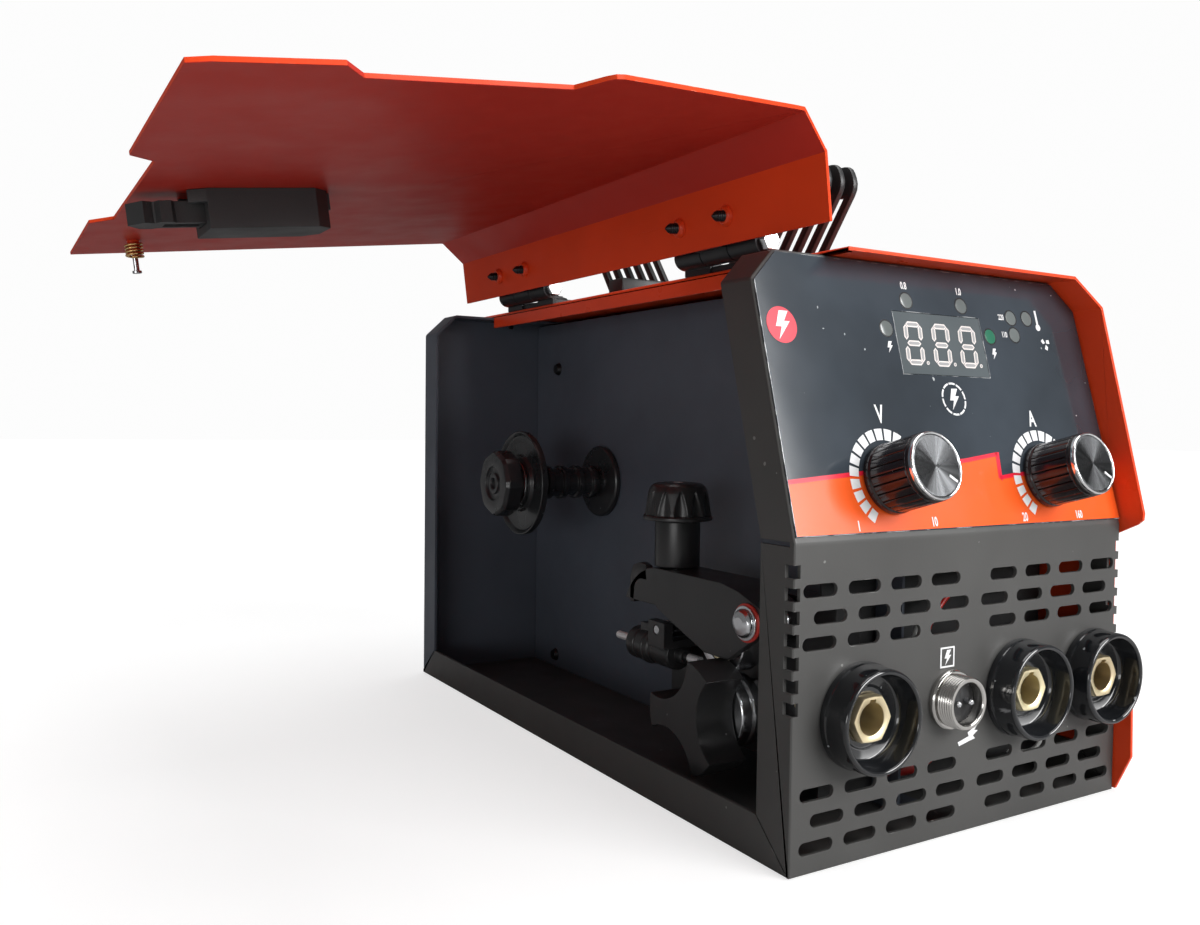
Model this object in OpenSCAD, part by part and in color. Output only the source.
// Compact inverter wire welder: sheet-steel case, side door on two barrel
// hinges, wire spool and wire feeder in the left bay, inverter in the right bay.
// Frame: +Z up, the front panel faces -Y, the door is on the -X side,
// origin at the centre of the base. Millimetres. The door is drawn open.

/* [Case] */
// Width across the front panel
box_w = 143; // [130:1:170]
// Depth from the front panel to the rear panel
box_d = 266; // [250:1:300]
// Height of the top of the front panel
top_z = 171.6; // [165:0.1:190]
// Height of the fold between the upright and the leaning front panel
fold_z = 90; // [85:1:96]
// Angle that the upper panel leans back
lean = 15.64; // [10:0.01:20]
// Thickness of the sheet steel
sheet = 1.2; // [1:0.1:1.5]
// Depth of the flanges folded back from the front and rear panels
rim_d = 14; // [12:1:16]
// Height of the side lips of the base tray
lip_h = 13; // [10:1:16]
// Position of the divider plate between the two bays
divider_x = -11.6; // [-16:0.1:-8]

/* [Door] */
// Position of the hinge axis across the case
hinge_x = -42; // [-43:0.1:-41]
// Height of the hinge axis
hinge_z = 179.5; // [178:0.1:182]
// Angle that the door stands open
door_open = 82.8; // [60:0.1:90]
// Places of the two hinges along the case
hinge_ys = [-61, 82]; // [-90:1:110]
// Length of a hinge
hinge_len = 45; // [35:1:50]

/* [Front sockets] */
// Height of the socket row
socket_z = 41; // [38:1:44]
// Places of the three output sockets
socket_xs = [-46.4, 20.9, 57.2]; // [-60:0.1:60]
// Outer radius of a socket shroud
socket_r = 15.2; // [14:0.1:15.2]
// Length of a socket shroud in front of the panel
socket_len = 9.6; // [8:0.1:12]
// Radius of the bore that takes a cable plug
plug_r = 4.5; // [4:0.1:5]
// Place of the two-pin control connector
gun_x = -10; // [-12:0.5:-8]

/* [Control panel] */
// Distance of both knobs up the leaning panel
knob_u = 16.7; // [14:0.1:20]
// Places of the two knobs across the panel
knob_xs = [-33, 36.5]; // [-60:0.5:60]
// Radius of a knob
knob_r = 10.3; // [9:0.1:11]
// Height of a knob
knob_h = 18; // [14:1:20]

/* [Spool holder] */
// Place of the spool axis along the case
spool_y = 66; // [60:1:70]
// Height of the spool axis
spool_z = 95; // [85:1:100]
// Radius of the outer spool disc
spool_disc_r = 22.5; // [20:0.5:26]

/* [Wire feeder] */
// Distance of the wire line from the middle of the case
wire_x = -46.4; // [-47:0.1:-46]
// Place of the two rollers along the case
roller_y = -75; // [-78:1:-72]
// Radius of the driven roller
drive_r = 12; // [10:0.5:12]
// Radius of the pressure roller
press_r = 12; // [10:0.5:12]
// Place of the tension stem along the case
stem_y = -43.5; // [-45:0.5:-42]

/* [Handle] */
// Place of the handle along the case
handle_y = 5; // [0:1:10]
// Height of the handle above the cover
handle_h = 50; // [44:1:54]
// Number of ribs across the handle
ribs = 7; // [5:2:7]

/* [Hidden] */
$fn = 48;
front_y = -box_d/2;
rear_y = box_d/2;
side_x = box_w/2;
slope = tan(lean);
panel_u = (top_z - fold_z)/cos(lean);   // length of the leaning panel
corner_w = 9.8;                         // top corner, across
corner_h = 9.2;                         // top corner, down
gap = 0.3;                              // air between sheets that move apart
run = 0.05;                             // radial clearance of a shaft in its bore
cover_in = 0.2;                         // cover stands off the panels
steel_dark = [0.17, 0.17, 0.17];
paint = [0.85, 0.2, 0.07];
black = [0.04, 0.04, 0.045];
steel = [0.75, 0.76, 0.78];
brass = [0.82, 0.66, 0.33];

// ---- placing -----------------------------------------------------------
module along_x(x0, x1) translate([x0, 0, 0]) rotate([90, 0, 90]) linear_extrude(x1 - x0) children();
module along_y(y0, y1) translate([0, y1, 0]) rotate([90, 0, 0]) linear_extrude(y1 - y0) children();
module on_front(x, z) translate([x, front_y, z]) rotate([90, 0, 0]) children();
module on_rear(x, z) translate([x, rear_y, z]) rotate([-90, 0, 0]) children();
module on_slope(x, u) translate([0, front_y, fold_z]) rotate([90 - lean, 0, 0])
    translate([x, u, 0]) children();
// local +Z points to the door
module on_side(x, y, z) translate([x, y, z]) rotate([0, -90, 0]) children();
module as_open() translate([hinge_x, 0, hinge_z]) rotate([0, door_open, 0])
    translate([-hinge_x, 0, -hinge_z]) children();
module tube(r, bore, h) difference() {
    cylinder(r = r, h = h);
    translate([0, 0, -1]) cylinder(r = bore, h = h + 2);
}
module box(a, b) translate(a) cube(b - a);
// round slot lying along x, centred
module slot2d(len, h) {
    square([len - h, h], center = true);
    for (s = [-1, 1]) translate([s*(len - h)/2, 0]) circle(d = h, $fn = 24);
}
// pan-head screw, head on local +Z
module pan_screw(head_r, shank_r, shank_len) {
    cylinder(r = head_r, h = 0.8);
    translate([0, 0, 0.8]) cylinder(r1 = head_r, r2 = head_r*0.72, h = 1.1);
    translate([0, 0, -shank_len]) cylinder(r = shank_r, h = shank_len);
}

// ---- case outlines -------------------------------------------------------
// half of the front-view outline, moved in by t, as x,z points down to z0
function corner_pts(t, z0) = [[side_x - t, z0], [side_x - t, top_z - corner_h - 0.433*t],
    [side_x - corner_w - 0.396*t, top_z - t]];
module front_outline(t, z0) polygon(concat(corner_pts(t, z0),
    [for (i = [2:-1:0]) [-corner_pts(t, z0)[i][0], corner_pts(t, z0)[i][1]]]));
function slope_y(z) = front_y + max(0, z - fold_z)*slope;
// side-view band of the front panel from depth a to depth b
module front_band(a, b, z0, z1) polygon([[slope_y(z0) + a, z0], [slope_y(fold_z) + a, fold_z],
    [slope_y(z1) + a, z1], [slope_y(z1) + b, z1], [slope_y(fold_z) + b, fold_z], [slope_y(z0) + b, z0]]);
// side-view outline of cover and door, with wings ahead of the panel
function wing_top() = [[rear_y + 1, top_z + 6], [front_y + 12.6, top_z + 6], [front_y + 12.9, top_z + 1],
    [front_y + 9.5, top_z - corner_h], [front_y - 7.8, fold_z + 3.9], [front_y - 7.6, fold_z + 1.6],
    [front_y - 5.7, fold_z], [front_y + 2.2, fold_z - 3.9], [front_y + 2.2, 36.5], [front_y - 5.6, 30.5]];
module cover_side() polygon(concat(wing_top(), [[front_y - 6, 12.4], [front_y - 0.6, 0.4],
    [rear_y + 1, 0.4]]));
module door_side() polygon(concat(wing_top(), [[front_y - 3, 5.8], [front_y - 1, 1],
    [rear_y + 1, 1]]));

// ---- sheet-metal case ----------------------------------------------------
module base_tray() color(steel_dark) {
    box([-side_x, front_y + sheet + 0.05, 0], [side_x, rear_y - sheet - 0.05, sheet]);
    for (s = [-1, 1]) along_x(s > 0 ? side_x - sheet : -side_x, s > 0 ? side_x : sheet - side_x)
        polygon([[front_y + 2, sheet], [front_y + rim_d + 0.4, lip_h], [rear_y - rim_d - 0.4, lip_h],
            [rear_y - 2, sheet]]);
}

// side view of the room that the base lip needs below a panel's rim
module lip_clear() polygon([[front_y + 1.4, -1], [front_y + 1.4, sheet], [front_y + rim_d - 0.2, lip_h],
    [front_y + rim_d + 1, lip_h], [front_y + rim_d + 1, -1]]);
// folded-back rim of a panel
module rim_ring() difference() {
    front_outline(0, sheet + 0.05);
    front_outline(sheet, 0);
}
module front_panel() color(steel_dark) difference() {
    union() {
        intersection() {
            along_x(-side_x, side_x) front_band(0, sheet/cos(lean), 0, top_z);
            along_y(front_y - 1, front_y + 40) front_outline(0, 0);
        }
        intersection() {
            along_y(front_y, front_y + 60) rim_ring();
            along_x(-side_x, side_x) difference() {
                front_band(0.6, rim_d, 0, top_z);
                lip_clear();
                translate([front_y + 2, fold_z - 1]) square([rim_d, 1.2]);
            }
        }
    }
    // ventilation slots
    for (row = [[77, 12.8], [69.6, 8.9], [62.6, 12.8], [21.6, 12.8], [14.2, 8.9], [7, 12.8]])
        for (s = [-1, 1], k = [0:3]) along_y(front_y - 1, front_y + 2)
            translate([s*(row[1] + 16.4*k), row[0]]) slot2d(12.2, 3.6);
    // notches round both upright folds
    for (s = [-1, 1], k = [0:6]) translate([s*side_x, front_y, 45.4 + 6.17*k])
        cube([4.4, 7.2, 3.6], center = true);
    for (x = socket_xs) on_front(x, socket_z) translate([0, 0, -3]) cylinder(r = 10.05, h = 4);
    on_front(gun_x, socket_z) translate([0, 0, -3]) cylinder(r = 7.6, h = 4);
    for (x = knob_xs) on_slope(x, knob_u) translate([0, 0, -3]) cylinder(r = 4.1, h = 4);
    on_slope(0.7, 59) cube([39.6, 20.6, 8], center = true);
    for (p = led_places()) on_slope(p[0], p[1]) translate([0, 0, -3]) cylinder(r = 2.3, h = 4, $fn = 24);
    for (p = front_screws()) translate([p[0], p[1], top_z - 4]) cylinder(r = 1.7, h = 6, $fn = 24);
}
function led_places() = [[-11.8, 72.6], [12.9, 72.6], [-22.6, 63], [24, 63], [36.3, 70.1], [36.4, 64.2],
    [44.4, 70.4]];
function front_screws() = [[-30, front_y + 28], [50, front_y + 28]];

module rear_panel() color(steel_dark) difference() {
    union() {
        along_y(rear_y - sheet, rear_y) front_outline(0, 0);
        intersection() {
            along_y(rear_y - rim_d, rear_y - 0.6) rim_ring();
            along_x(-side_x, side_x) difference() {
                translate([rear_y - rim_d, 0]) square([rim_d - 0.6, top_z]);
                mirror([1, 0]) lip_clear();
            }
        }
    }
    // fan grille: rings of round-ended slots
    for (ring = [0:3], k = [0:7]) on_rear(fan_x, fan_z) rotate(k*45 + ring*22.5)
        translate([0, 10 + ring*8, -3]) linear_extrude(6) slot2d(5 + ring*5.5, 4);
    for (sx = [-1, 1], sz = [-1, 1]) on_rear(fan_x + sx*35.75, fan_z + sz*35.75)
        translate([0, 0, -3]) cylinder(r = 2.2, h = 4, $fn = 24);
    box([switch_x - 11, rear_y - 3, switch_z - 14], [switch_x + 11, rear_y + 1, switch_z + 14]);
    on_rear(gland_x, switch_z) translate([0, 0, -3]) cylinder(r = 8.1, h = 4);
    for (x = [-30, 50]) translate([x, rear_y - 8, top_z - 4]) cylinder(r = 1.7, h = 6, $fn = 24);
}
fan_x = 30.2;
fan_z = 96;
switch_x = 48;
switch_z = 28;
gland_x = 14;

module divider_plate() color(steel_dark) difference() {
    union() {
        along_x(divider_x, divider_x + sheet) polygon([[front_y + 18, sheet], [front_y + 18, fold_z],
            [slope_y(top_z - 2) + 18, top_z - 2], [rear_y - 2, top_z - 2], [rear_y - 2, sheet]]);
        box([divider_x, front_y + 18, sheet], [divider_x + 12, rear_y - 2, 2*sheet]);
    }
    on_side(divider_x, spool_y, spool_z) translate([0, 0, -3]) cylinder(r = 5.1, h = 6);
    on_side(divider_x, roller_y, roller_axis_z) translate([0, 0, -3]) cylinder(r = 9, h = 6);
}

// orange shell: left lip, top, corner and right side in one folded sheet
module shell_section(t) polygon(concat([[hinge_x, top_z - 5], [hinge_x, top_z + cover_in + sheet]],
    [for (i = [2:-1:0]) corner_pts(-cover_in - sheet, 0)[i]],
    [for (i = [0:2]) corner_pts(-cover_in, 0)[i]],
    [[hinge_x + sheet, top_z + cover_in], [hinge_x + sheet, top_z - 5]]));
module outer_cover() color(paint) difference() {
    intersection() {
        along_y(front_y - 20, rear_y + 1) shell_section();
        along_x(hinge_x - 1, side_x + 5) cover_side();
    }
    // the lip stays between the panels' rims
    box([hinge_x - 1, front_y - 20, top_z - 6], [hinge_x + 2, front_y + 37.6, top_z + 0.1]);
    box([hinge_x - 1, rear_y - rim_d - 0.1, top_z - 6], [hinge_x + 2, rear_y + 2, top_z + 0.1]);
    for (p = front_screws()) translate([p[0], p[1], top_z - 1]) cylinder(r = 2, h = 4, $fn = 24);
    for (x = [-30, 50]) translate([x, rear_y - 8, top_z - 1]) cylinder(r = 2, h = 4, $fn = 24);
}
cover_top = top_z + cover_in + sheet;

module cover_screws() color(black) {
    for (y = hinge_ys, dy = [-13, 13]) translate([hinge_x + 9.5, y + dy, cover_top + leaf_t])
        pan_screw(3.2, 1.7, leaf_t);
    for (p = front_screws()) translate([p[0], p[1], cover_top]) pan_screw(3.6, 1.6, 6);
    for (x = [-30, 50]) translate([x, rear_y - 8, cover_top]) pan_screw(3.6, 1.6, 6);
    for (y = [front_y + 9, rear_y - 7], z = [22, 120]) translate([side_x + cover_in + sheet, y + (y < 0
        ? max(0, z - fold_z)*slope : 0), z]) rotate([0, 90, 0]) cylinder(r1 = 3.6, r2 = 2.8, h = 1.9);
}

// ---- control panel ---------------------------------------------------------
label_t = 0.5;
module control_label() color([0.24, 0.26, 0.28]) difference() {
    on_slope(0, 0) linear_extrude(label_t) polygon([[-side_x + 0.6, 1.6], [side_x - 0.6, 1.6],
        [side_x - 0.6, panel_u - 10], [side_x - 10, panel_u - 0.8], [10 - side_x, panel_u - 0.8],
        [0.6 - side_x, panel_u - 10]]);
    for (x = knob_xs) on_slope(x, knob_u) translate([0, 0, -1]) cylinder(r = 4.4, h = 3);
    on_slope(0.7, 59) cube([39, 20, 3], center = true);
    for (p = led_places()) on_slope(p[0], p[1]) translate([0, 0, -1]) cylinder(r = 1.95, h = 3, $fn = 24);
}
module display_window() color([0.3, 0.32, 0.33]) on_slope(0.7, 59) translate([-19.4, -9.9, -0.7])
    cube([38.8, 19.8, 1.1]);
module display_board() color([0.1, 0.3, 0.15]) {
    on_slope(0, 0) difference() {
        translate([-56, 5, -14]) cube([112, 70, 1.6]);
        for (x = knob_xs) translate([x, knob_u, -20]) cylinder(r = 4.5, h = 10);
    }
    on_slope(0.7, 59) translate([-18.6, -9.5, -12.4]) cube([37.2, 19, 7.6]);
}
module led_lenses() color([0.35, 0.38, 0.37]) for (p = led_places()) on_slope(p[0], p[1])
    translate([0, 0, -4]) cylinder(r = 1.85, h = 4.4, $fn = 24);
module potentiometers() color(steel) for (x = knob_xs) on_slope(x, knob_u) {
    translate([0, 0, -11]) cylinder(r = 8, h = 9.4);
    translate([0, 0, -1.6]) cylinder(r = 3.8, h = 3.4);
    translate([0, 0, -1.2 + 3]) cylinder(r = 3, h = 11);
}
module knob_skirt(x) on_slope(x, knob_u) difference() {
    union() {
        translate([0, 0, label_t + 0.4]) cylinder(r = knob_r, h = 1.6);
        translate([0, 0, label_t + 2]) linear_extrude(knob_h - 3.5) difference() {
            circle(r = knob_r - 0.3, $fn = 72);
            for (k = [0:23]) rotate(k*15) translate([knob_r - 0.1, 0]) circle(r = 0.55, $fn = 16);
        }
    }
    translate([0, 0, -1]) cylinder(r = 3 + run, h = 14.2);
    translate([0, 0, -1]) cylinder(r = 5, h = 4);
}
module knob_cap(x) on_slope(x, knob_u) translate([0, 0, label_t + knob_h - 1.5]) {
    cylinder(r = knob_r - 0.9, h = 1.5);
    translate([knob_r*0.25, -knob_r*0.62, 1.5]) rotate(-60) cube([3.4, 0.8, 0.4], center = true);
}
module voltage_knob() color(black) knob_skirt(knob_xs[0]);
module voltage_knob_cap() color([0.4, 0.41, 0.43]) knob_cap(knob_xs[0]);
module current_knob() color(black) knob_skirt(knob_xs[1]);
module current_knob_cap() color([0.4, 0.41, 0.43]) knob_cap(knob_xs[1]);

// ---- output sockets and gun connector ----------------------------------------
// bell-shaped moulding with a threaded neck through the panel
module socket_shrouds() color(black) for (x = socket_xs) on_front(x, socket_z) rotate_extrude()
    polygon([[6.6, -14], [10, -14], [10, 0], [socket_r, 0], [socket_r, 1.6], [socket_r - 0.7, 2.6],
        [socket_r - 0.5, socket_len - 1], [socket_r - 1.5, socket_len], [socket_r - 2.6, socket_len - 0.6],
        [socket_r - 4.2, 1.2], [6.6, 1.2]]);
module socket_inserts() color(brass) for (x = socket_xs) on_front(x, socket_z) {
    translate([0, 0, -20]) tube(6.55, plug_r, 24.5);
    if (x != socket_xs[0]) translate([0, 0, -23]) cylinder(r = 6.55, h = 3);
}
module gun_connector_shell() color(steel) on_front(gun_x, socket_z) {
    translate([0, 0, -8]) tube(7.5, 6.2, 15);
    translate([0, 0, 0]) tube(9, 7.5, 1.8);
    for (k = [0:4]) translate([0, 0, 2.4 + k*0.95]) tube(7.9, 7.45, 0.5);
}
module gun_connector_insert() color(black) on_front(gun_x, socket_z) translate([0, 0, -8])
    cylinder(r = 6.15, h = 11.5);
module gun_connector_pins() color(steel) on_front(gun_x, socket_z) for (s = [-1, 1])
    translate([s*2.6, 0, 3.5]) cylinder(r = 1, h = 2.7, $fn = 24);

// ---- handle -------------------------------------------------------------------
// side view of one handle rib, centred on the handle; e makes it smaller all round
grip_half = 70;      // half length over the grip's ends
foot_half = 46;      // half length over the legs' feet
foot_h = 13;         // height of the foot rail
grip_t = 11;         // thickness of the grip
rise = 9;            // arch of the grip
function arch(half, h) = [for (i = [-6:6]) [i*half/6, h - rise*i*i/36]];
module rib_outline(e) difference() {
    polygon(concat([[-foot_half + e, 0], [-foot_half + 2 + e, foot_h], [-grip_half + e, handle_h - 22],
        [-grip_half + 0.6 + e, handle_h - 15 - e*0.6]], arch(grip_half - 8, handle_h - e),
        [[grip_half - 0.6 - e, handle_h - 15 - e*0.6], [grip_half - e, handle_h - 22],
        [foot_half - 2 - e, foot_h], [foot_half - e, 0]]));
    polygon(concat([[-foot_half + 13, foot_h - e*0.4]], arch(grip_half - 18 + e, handle_h - grip_t + e*0.5),
        [[foot_half - 13, foot_h - e*0.4]]));
}
rib_step = 4.8;
foot_out = 10;       // reach of the foot rail past the legs
module handle() color(black) translate([0, handle_y, cover_top]) difference() {
    union() {
        along_x(-ribs*rib_step/2 + 1.2, ribs*rib_step/2 - 1.2) rib_outline(1.6);
        for (k = [-(ribs - 1)/2:(ribs - 1)/2])
            along_x(k*rib_step - 1.5, k*rib_step + 1.5) rib_outline(abs(k)*0.7);
        along_y(-foot_half - foot_out, foot_half + foot_out) polygon([[-17.4, 0], [-17.4, foot_h - 5],
            [-14, foot_h - 1.6], [14, foot_h - 1.6], [17.4, foot_h - 5], [17.4, 0]]);
    }
    for (s = [-1, 1], x = [-9, 9]) translate([x, s*(foot_half + 5), -1]) {
        cylinder(r = 2.1, h = 20, $fn = 24);
        translate([0, 0, 6]) cylinder(r = 4.2, h = 20, $fn = 24);
    }
}
module handle_screws() color(steel) for (s = [-1, 1], x = [-9, 9])
    translate([x, handle_y + s*(foot_half + 5), cover_top]) {
        cylinder(r = 2, h = 6, $fn = 24);
        translate([0, 0, 5]) cylinder(r = 3.6, h = 2.6, $fn = 6);
    }

// ---- hinges -------------------------------------------------------------------
barrel_r = 4.3;
pin_r = 1.9;
leaf_t = 2.2;
knuckle = hinge_len/3;
// one leaf: plate beside the barrel and the knuckles that it carries
module leaf(side, low_z) {
    x0 = hinge_x + side*1.4;
    x1 = hinge_x + side*15.5;
    difference() {
        box([min(x0, x1), -hinge_len/2, low_z], [max(x0, x1), hinge_len/2, low_z + leaf_t]);
        translate([hinge_x, -hinge_len/2 - 1, hinge_z]) rotate([-90, 0, 0])
            cylinder(r = barrel_r, h = hinge_len + 2);
        for (y = [-13, 13]) translate([hinge_x + side*9.5, y, low_z - 1])
            cylinder(r = 1.75, h = 5, $fn = 24);
    }
}
module knuckles(list) for (i = list)
    translate([hinge_x, -hinge_len/2 + i*knuckle + 0.15, hinge_z]) rotate([-90, 0, 0])
        tube(barrel_r, pin_r + run, knuckle - 0.3);
// web between a leaf and one of its knuckles
module web(side, low_z, i) difference() {
    box([min(hinge_x + side*0.4, hinge_x + side*5.5), -hinge_len/2 + i*knuckle + 0.15, low_z],
        [max(hinge_x + side*0.4, hinge_x + side*5.5), -hinge_len/2 + (i + 1)*knuckle - 0.15, low_z + 3.5]);
    translate([hinge_x, -hinge_len/2 - 1, hinge_z]) rotate([-90, 0, 0])
        cylinder(r = barrel_r - 0.4, h = hinge_len + 2);
}
door_top = top_z + gap + 0.1 + sheet;
module hinge_fixed_leaves() color(black) for (y = hinge_ys) translate([0, y, 0]) {
    leaf(1, cover_top);
    knuckles([0, 2]);
    for (i = [0, 2]) web(1, cover_top, i);
}
module hinge_door_leaves() color(black) as_open() for (y = hinge_ys) translate([0, y, 0]) {
    leaf(-1, door_top);
    knuckles([1]);
    web(-1, door_top, 1);
}
module hinge_pins() color(steel) for (y = hinge_ys)
    translate([hinge_x, y - hinge_len/2 - 3, hinge_z]) rotate([-90, 0, 0]) {
        cylinder(r = pin_r, h = hinge_len + 4);
        cylinder(r = 3.4, h = 2.9, $fn = 6);
        translate([0, 0, 2.9 + hinge_len + 0.2]) cylinder(r = 2.6, h = 1.2);
    }

// ---- door, drawn shut inside as_open ---------------------------------------------
door_in = gap + 0.1;
module door_section() polygon(concat([[-hinge_x + 0.6, top_z + door_in], [-hinge_x + 0.6, door_top]],
    [for (i = [2:-1:0]) corner_pts(-door_in - sheet, 0)[i]],
    [for (i = [0:2]) corner_pts(-door_in, 0)[i]]));
door_face = side_x + door_in;
module side_door() color(paint) as_open() difference() {
    intersection() {
        along_y(front_y - 20, rear_y + 1) mirror([1, 0]) door_section();
        along_x(-side_x - 5, hinge_x + 1) door_side();
    }
    // finger recess in the free edge
    along_x(-side_x - 5, -side_x + 5) polygon([[-55, 0], [-46.5, 8], [46.5, 8], [55, 0]]);
    box([-side_x - 5, -8, 34], [-side_x + 5, 8, 60]);
    for (y = hinge_ys, dy = [-13, 13]) translate([hinge_x - 9.5, y + dy, top_z - 3])
        cylinder(r = 1.75, h = 8, $fn = 24);
    on_side(-door_face - 3, 98, 20) translate([0, 0, -6]) cylinder(r = 2.2, h = 8, $fn = 24);
}
module door_screws() color(black) as_open() for (y = hinge_ys, dy = [-13, 13])
    translate([hinge_x - 9.5, y + dy, door_top + leaf_t]) {
        translate([0, 0, 0.02]) cylinder(r1 = 3.4, r2 = 2.4, h = 1.5);
        translate([0, 0, -leaf_t - 4]) cylinder(r = 1.7, h = leaf_t + 4.02, $fn = 24);
        translate([0, 0, -leaf_t - 7.4]) cylinder(r1 = 0.3, r2 = 1.7, h = 3.4, $fn = 24);
    }

// sliding latch: moulded case with a sprung tongue that hooks behind the base lip
latch_in = -door_face + 12;
module latch_body() color(black) as_open() difference() {
    union() {
        along_x(-door_face, latch_in) polygon([[-11, 27], [11, 27], [11, 60], [6, 65], [-6, 65], [-11, 60]]);
        box([-door_face - sheet - 1.5, -11, 31], [-door_face - sheet, 11, 63]);
        box([-door_face - sheet, -7.8, 34.2], [-door_face, 7.8, 59.8]);
        for (s = [-1, 1]) along_x(-door_face, -door_face + 4)
            polygon([[s*7.4, 22], [s*8.4, 22], [s*11, 27], [s*7.4, 27]]);
    }
    // passage of the tongue and the finger window outside
    box([-door_face + 2.5, -6.2, 20], [latch_in - 2.5, 6.2, 56]);
    box([-door_face - sheet - 3, -6, 36], [-door_face + 3, 6, 58]);
}
module latch_slider() color(black) as_open() difference() {
    union() {
        along_x(-door_face + 2.9, latch_in - 2.9) polygon([[-6, 46], [-6, 14], [6, 14], [6, 46]]);
        along_y(-7, 7) polygon([[-door_face + 2.9, 14], [-door_face + 2.9, 9], [latch_in - 6, 5.5],
            [latch_in - 1, 9.5], [latch_in - 1, 14], [latch_in - 2.9, 18], [-door_face + 2.9, 18]]);
        // finger pad
        box([-door_face - sheet - 0.9, -5.6, 37], [-door_face + 3.2, 5.6, 46]);
    }
    box([-door_face, -4.4, 20], [latch_in - 4.4, 4.4, 33]);
}

// sprung pin near the rear corner of the door
module pin_collar() color(paint) as_open() on_side(-door_face - sheet, 98, 20) {
    cylinder(r = 3.2, h = 1);
    difference() {
        translate([0, 0, -sheet - 5]) cylinder(r = 2.15, h = sheet + 5);
        translate([0, 0, -sheet - 6]) cylinder(r = 1 + run, h = sheet + 5);
    }
}
module spring_pin() color(steel) as_open() on_side(-door_face, 98, 20)
    translate([0, 0, -12.5]) {
        cylinder(r = 1, h = 8.5, $fn = 24);
        cylinder(r = 1.7, h = 1, $fn = 24);
    }
module pin_spring() color(brass) as_open() on_side(-door_face, 98, 20) for (k = [0:6])
    translate([0, 0, -1.1 - k*1.5]) rotate_extrude() translate([2.9, 0]) circle(r = 0.42, $fn = 16);

// ---- spool holder ---------------------------------------------------------------
axle_end = 68;
module spool_at(x) on_side(x, spool_y, spool_z) children();
module spool_axle() color(steel) spool_at(divider_x + sheet) {
    translate([0, 0, -4]) cylinder(r = 8, h = 4, $fn = 6);
    translate([0, 0, 0]) cylinder(r = 4, h = axle_end + divider_x - 6.8);
}
module spool_hub() color(black) spool_at(divider_x - 0.4) difference() {
    union() {
        cylinder(r = 16, h = 2.4);
        cylinder(r = 6.2, h = 39);
        for (k = [0:4]) translate([0, 0, 5 + k*7.4]) cylinder(r = 7.4, h = 3.4);
    }
    translate([0, 0, -1]) cylinder(r = 4 + run, h = 42);
}
module spool_disc() color(black) spool_at(-51.3) difference() {
    union() {
        cylinder(r = spool_disc_r, h = 1.6);
        tube(spool_disc_r, spool_disc_r - 1.6, 3);
        cylinder(r = 12, h = 3.4);
    }
    translate([0, 0, -1]) cylinder(r = 4.3, h = 6);
}
module spool_washer() color([0.8, 0.25, 0.2]) spool_at(-54.75) tube(9, 4.3, 1.2);
module spool_knob() color(black) spool_at(-56) difference() {
    union() {
        cylinder(r = 9.5, h = 3);
        translate([0, 0, 2]) linear_extrude(8.6) difference() {
            circle(r = 14.6);
            for (k = [0:7]) rotate(k*45 + 22.5) translate([16.2, 0]) circle(r = 4, $fn = 32);
        }
    }
    translate([0, 0, -1]) cylinder(r = 4 + run, h = 7);
}

// ---- wire feeder ------------------------------------------------------------------
roller_axis_z = socket_z - drive_r - 0.4;
press_z = socket_z + press_r + 0.4;
pivot = [-94, 61];                       // arm pivot, along and up
stem_z = 50;                             // height of the stem's lower pin
plate_x = -36;                           // face of the bracket
arm_x = [-55.2, -38.6];                  // outer faces of the arm's two cheeks
roller_w = 9.2;                          // width of each roller
arm_top = 71.5;
module wire_at(y) translate([wire_x, y, socket_z]) rotate([-90, 0, 0]) children();

module feeder_bracket() color(black) difference() {
    union() {
        along_x(plate_x, plate_x + 10) polygon([[-112, 13], [-26, 13], [-26, 34], [-34, 52], [-66, 52],
            [-84, 68], [-112, 68]]);
        along_x(plate_x + 10, divider_x - 0.05) polygon([[-112, 13], [-26, 13], [-26, 34], [-40, 44],
            [-112, 44]]);
        // pin lugs of the tension stem
        for (x = [wire_x - 8.6, wire_x + 4.6]) along_x(x, x + 4)
            polygon([[stem_y - 5, 44], [stem_y + 5, 44], [stem_y + 5, 53], [stem_y - 5, 53]]);
        box([wire_x - 8.6, stem_y - 5, 47 - 3.2], [plate_x + 1, stem_y + 5, 47 - 0.4]);
        box([wire_x + 4.6, stem_y - 5, 44], [plate_x + 1, stem_y + 5, 53]);
    }
    on_side(plate_x, roller_y, roller_axis_z) translate([0, 0, -30]) cylinder(r = 8.5, h = 40);
    on_side(plate_x, pivot[0], pivot[1]) translate([0, 0, -12]) cylinder(r = 3.05, h = 20);
    on_side(wire_x - 9, stem_y, stem_z) translate([0, 0, -19]) cylinder(r = 1.5 + run, h = 20);
}
// inlet bush on the wire line, with a ring and a tab
module wire_guide() color(black) difference() {
    union() {
        wire_at(-52) cylinder(r = 2.6, h = 32.5);
        wire_at(-52) cylinder(r = 2.62, h = 9);
        wire_at(-33) cylinder(r = 6, h = 13.5);
        wire_at(-30.5) cylinder(r = 6.4, h = 1.2);
        box([wire_x, -31, socket_z - 3.4], [plate_x, -24, socket_z - 0.5]);
    }
    wire_at(-60) cylinder(r = 1.5, h = 60, $fn = 32);
}
module inlet_tube() color(steel) wire_at(-58) tube(1.48, 0.7, 52);
module feed_motor() color(steel) {
    on_side(-9, roller_y, roller_axis_z) translate([0, 0, -54]) cylinder(r = 18, h = 46);
    on_side(-9, roller_y, roller_axis_z) translate([0, 0, -8]) cylinder(r = 21, h = 8);
    on_side(-9, roller_y, roller_axis_z) cylinder(r = 8.3, h = 25);
}
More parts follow.
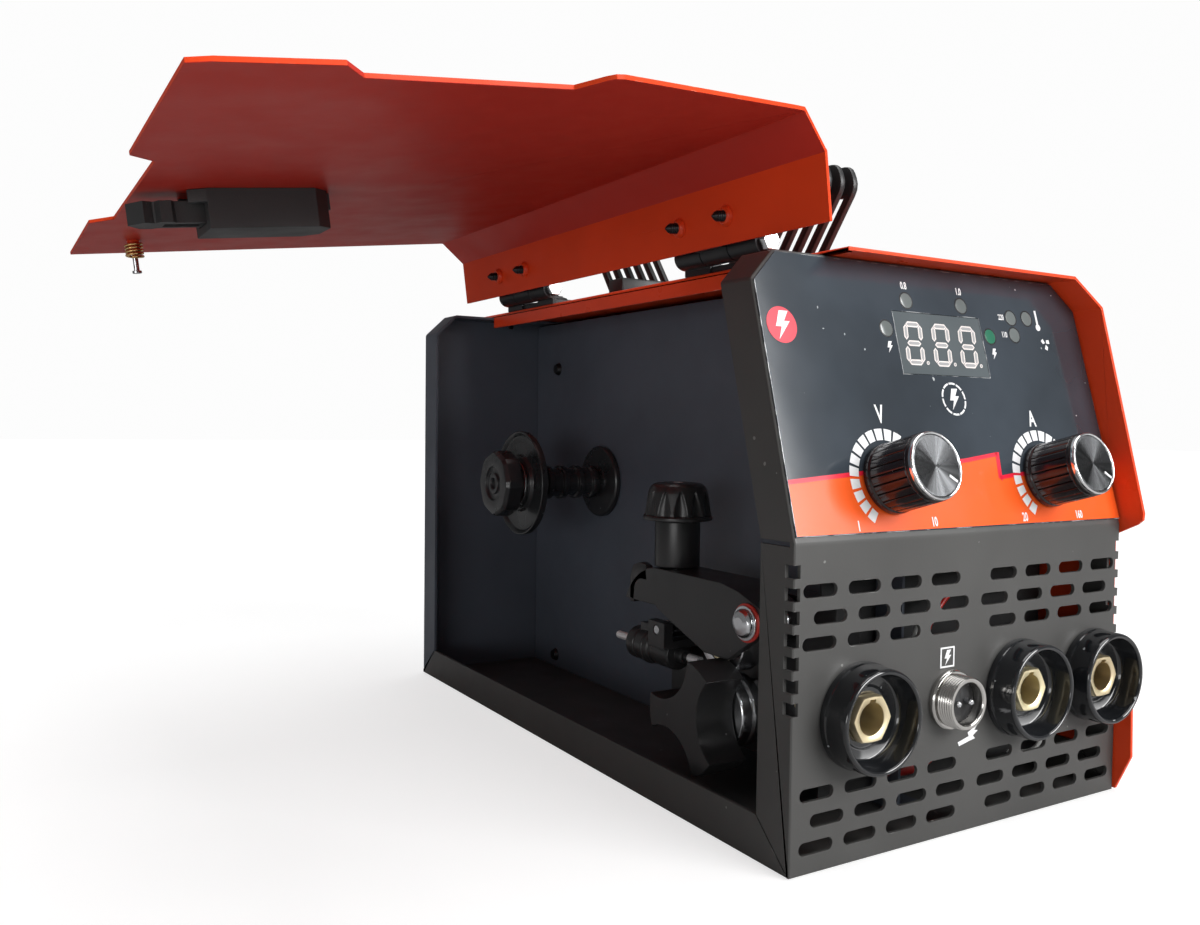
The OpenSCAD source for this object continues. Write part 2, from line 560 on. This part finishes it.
module drive_roller() color(steel) on_side(wire_x, roller_y, roller_axis_z) {
    translate([0, 0, -12.1]) cylinder(r = 5, h = 12.1 - roller_w/2);
    difference() {
        translate([0, 0, -roller_w/2]) cylinder(r = drive_r, h = roller_w);
        rotate_extrude() translate([drive_r + 0.25, 0]) circle(r = 0.7, $fn = 16);
    }
    translate([0, 0, roller_w/2]) cylinder(r = 3, h = 6);
}
lobe_r = 18.5;                           // reach of the lobes, which pass below the arm
module roller_knob() color(black) on_side(wire_x - roller_w/2 - 0.4, roller_y, roller_axis_z)
    rotate(-25) difference() {
        linear_extrude(14.5) difference() {
            circle(r = lobe_r);
            for (k = [0:2]) rotate(k*120 + 60) translate([23, 0]) circle(r = 15.5);
        }
        translate([0, 0, -1]) cylinder(r = 3 + run, h = 7);
    }
module pressure_roller() color(steel) on_side(wire_x, roller_y, press_z) difference() {
    union() {
        translate([0, 0, -roller_w/2]) cylinder(r = press_r, h = roller_w);
        translate([0, 0, -4.8]) cylinder(r = 5, h = 10);
    }
    translate([0, 0, -6]) cylinder(r = 2.5 + run, h = 12);
}
// arm: two cheeks, a top web and the roller pin; its end is an arc about the stem pin
module arm_outline() union() {
    polygon([[pivot[0] - 5.5, 58], [pivot[0] - 5.5, 66], [pivot[0] + 5, arm_top - 1.6], [pivot[0] + 14, arm_top],
        [stem_y, arm_top], [stem_y, 58], [stem_y - 10, 54], [-72, 47.5], [-84, 47.5]]);
    intersection() {
        translate([stem_y, stem_z]) circle(r = arm_top - stem_z, $fn = 64);
        translate([stem_y, 58.5]) square([24, 20]);
    }
}
module pressure_arm() color(black) difference() {
    union() {
        along_x(arm_x[0], arm_x[0] + 3) arm_outline();
        along_x(arm_x[1] - 3, arm_x[1]) arm_outline();
        along_x(arm_x[0], arm_x[1]) intersection() {
            arm_outline();
            translate([pivot[0] - 6, arm_top - 4]) square([90, 5]);
        }
        on_side(arm_x[1] - 1, roller_y, press_z) cylinder(r = 2.5, h = 14.6);
    }
    // slot of the tension stem, open to the end
    box([wire_x - 3.2, stem_y - 3.6, 50], [wire_x + 3.2, 0, arm_top + 2]);
    on_side(arm_x[1] + 1, pivot[0], pivot[1]) cylinder(r = 3 + run, h = 20);
    // room for the roller between the cheeks
    on_side(arm_x[1] - 3, roller_y, press_z) difference() {
        cylinder(r = press_r + 1, h = arm_x[1] - arm_x[0] - 6);
        translate([0, 0, -1]) cylinder(r = 2.5, h = 16);
    }
}
module arm_pivot_bolt() color(steel) {
    on_side(plate_x + 10, pivot[0], pivot[1]) cylinder(r = 3, h = -arm_x[0] + plate_x + 10 + 0.2);
    on_side(arm_x[0] - 0.2, pivot[0], pivot[1]) cylinder(r = 6, h = 1);
    on_side(arm_x[0] - 1.2, pivot[0], pivot[1]) cylinder(r = 4.6, h = 3.2, $fn = 6);
}
module stem_at(z) translate([wire_x, stem_y, z]) children();
module tension_stem() color(steel) {
    stem_at(stem_z) cylinder(r = 2.4, h = 48);
    on_side(wire_x + 4.2, stem_y, stem_z) cylinder(r = 3, h = 8.4);
    on_side(wire_x + 8.4, stem_y, stem_z) cylinder(r = 1.5, h = 16.8);
}
module tension_sleeve() color(black) stem_at(arm_top + 0.3) tube(7.9, 2.5, 16);
module tension_knob() color(black) stem_at(arm_top + 16.6) difference() {
    union() {
        cylinder(r = 12.1, h = 1.4);
        translate([0, 0, 1.4]) cylinder(r1 = 11.8, r2 = 10.2, h = 8.6);
        translate([0, 0, 10]) cylinder(r1 = 10.2, r2 = 7.5, h = 3);
    }
    translate([0, 0, -1]) cylinder(r = 2.4 + run, h = 12);
    for (k = [0:11]) rotate(k*30) translate([12.6, 0, 1.4]) cylinder(r1 = 1.7, r2 = 1.9, h = 9, $fn = 24);
}

// ---- inverter bay -------------------------------------------------------------------
module fan_frame() color(black) difference() {
    box([fan_x - 40, rear_y - 26.4, fan_z - 40], [fan_x + 40, rear_y - 1.25, fan_z + 40]);
    on_rear(fan_x, fan_z) translate([0, 0, -30]) difference() {
        cylinder(r = 38, h = 40);
        translate([0, 0, 22]) cylinder(r = 15, h = 5);
        for (k = [0:2]) rotate(k*120) translate([0, -2, 24]) cube([40, 4, 3]);
    }
    for (sx = [-1, 1], sz = [-1, 1]) on_rear(fan_x + sx*35.75, fan_z + sz*35.75)
        translate([0, 0, -30]) cylinder(r = 2.2, h = 40, $fn = 24);
}
module fan_rotor() color([0.1, 0.1, 0.11]) on_rear(fan_x, fan_z) translate([0, 0, -26]) {
    cylinder(r = 16, h = 17.5);
    for (k = [0:6]) rotate(k*360/7) translate([15, 0, 8.5]) rotate([32, 0, 0])
        translate([0, -1, -8.5]) cube([20.5, 2, 17]);
}
module heat_sinks() color([0.6, 0.61, 0.63]) for (z = [22, 100]) {
    box([2, -50, z], [6, 60, z + 48]);
    for (k = [0:7]) box([6, -50, z + k*6.6], [24, 60, z + k*6.6 + 1.8]);
}
module power_board() color([0.05, 0.2, 0.1]) box([30, -45, 12], [31.6, 90, 160]);
module transformer() color([0.75, 0.6, 0.15]) {
    box([33, -20, 30], [62, 20, 74]);
    box([36, -26, 36], [59, -20.05, 68]);
    box([36, 20.05, 36], [59, 26, 68]);
}
module capacitors() color([0.08, 0.1, 0.25]) for (k = [0:2]) translate([31.6, 45 + k*2, 40 + k*36])
    rotate([0, 90, 0]) cylinder(r = 14, h = 34);
module power_switch_body() color(black) difference() {
    union() {
        box([switch_x - 13, rear_y, switch_z - 16], [switch_x + 13, rear_y + 2, switch_z + 16]);
        box([switch_x - 10.9, rear_y - 18, switch_z - 13.9], [switch_x + 10.9, rear_y, switch_z + 13.9]);
    }
    box([switch_x - 9, rear_y - 12, switch_z - 12], [switch_x + 9, rear_y + 3, switch_z + 12]);
    translate([switch_x - 10.4, rear_y - 4, switch_z]) rotate([0, 90, 0]) cylinder(r = 1.5 + run, h = 20.8);
}
module power_rocker() color([0.6, 0.05, 0.03]) translate([switch_x, rear_y - 4, switch_z]) {
    rotate([0, 90, 0]) translate([0, 0, -10.2]) cylinder(r = 1.5, h = 20.4);
    along_x(-8.6, 8.6) polygon([[-3, -4.5], [4, -9], [7, -9.2], [5.6, 0], [4, 9.4], [1.6, 9.6],
        [-3, 4.5]]);
}
module cable_gland() color(black) on_rear(gland_x, switch_z) {
    difference() {
        union() {
            translate([0, 0, -10]) cylinder(r = 8, h = 10);
            cylinder(r = 12, h = 5, $fn = 6);
            translate([0, 0, 5]) cylinder(r = 10, h = 3);
            translate([0, 0, 8]) cylinder(r1 = 9.6, r2 = 7, h = 10);
        }
        translate([0, 0, -11]) cylinder(r = 4, h = 30);
    }
    translate([0, 0, -15]) tube(10.5, 8.05, 3.7);
}
module bay_screws() color(steel) {
    for (y = [front_y + 44, rear_y - 24], z = [7, top_z - 24])
        on_side(divider_x, y, z) cylinder(r1 = 3.2, r2 = 2.2, h = 1.9);
    for (y = [-108, -30]) on_side(plate_x, y, 18) cylinder(r1 = 3, r2 = 2.2, h = 2);
}

base_tray();
front_panel();
rear_panel();
divider_plate();
outer_cover();
cover_screws();
control_label();
display_window();
display_board();
led_lenses();
potentiometers();
socket_shrouds();
socket_inserts();
gun_connector_shell();
gun_connector_insert();
gun_connector_pins();
handle();
handle_screws();
hinge_fixed_leaves();
hinge_pins();
spool_axle();
feeder_bracket();
wire_guide();
inlet_tube();
feed_motor();
arm_pivot_bolt();
fan_frame();
heat_sinks();
power_board();
transformer();
capacitors();
power_switch_body();
cable_gland();
bay_screws();
side_door();
hinge_door_leaves();
door_screws();
latch_body();
latch_slider();
pin_collar();
pin_spring();
spring_pin();
voltage_knob();
voltage_knob_cap();
current_knob();
current_knob_cap();
spool_hub();
spool_disc();
spool_washer();
spool_knob();
drive_roller();
roller_knob();
pressure_roller();
pressure_arm();
tension_stem();
tension_sleeve();
tension_knob();
fan_rotor();
power_rocker();
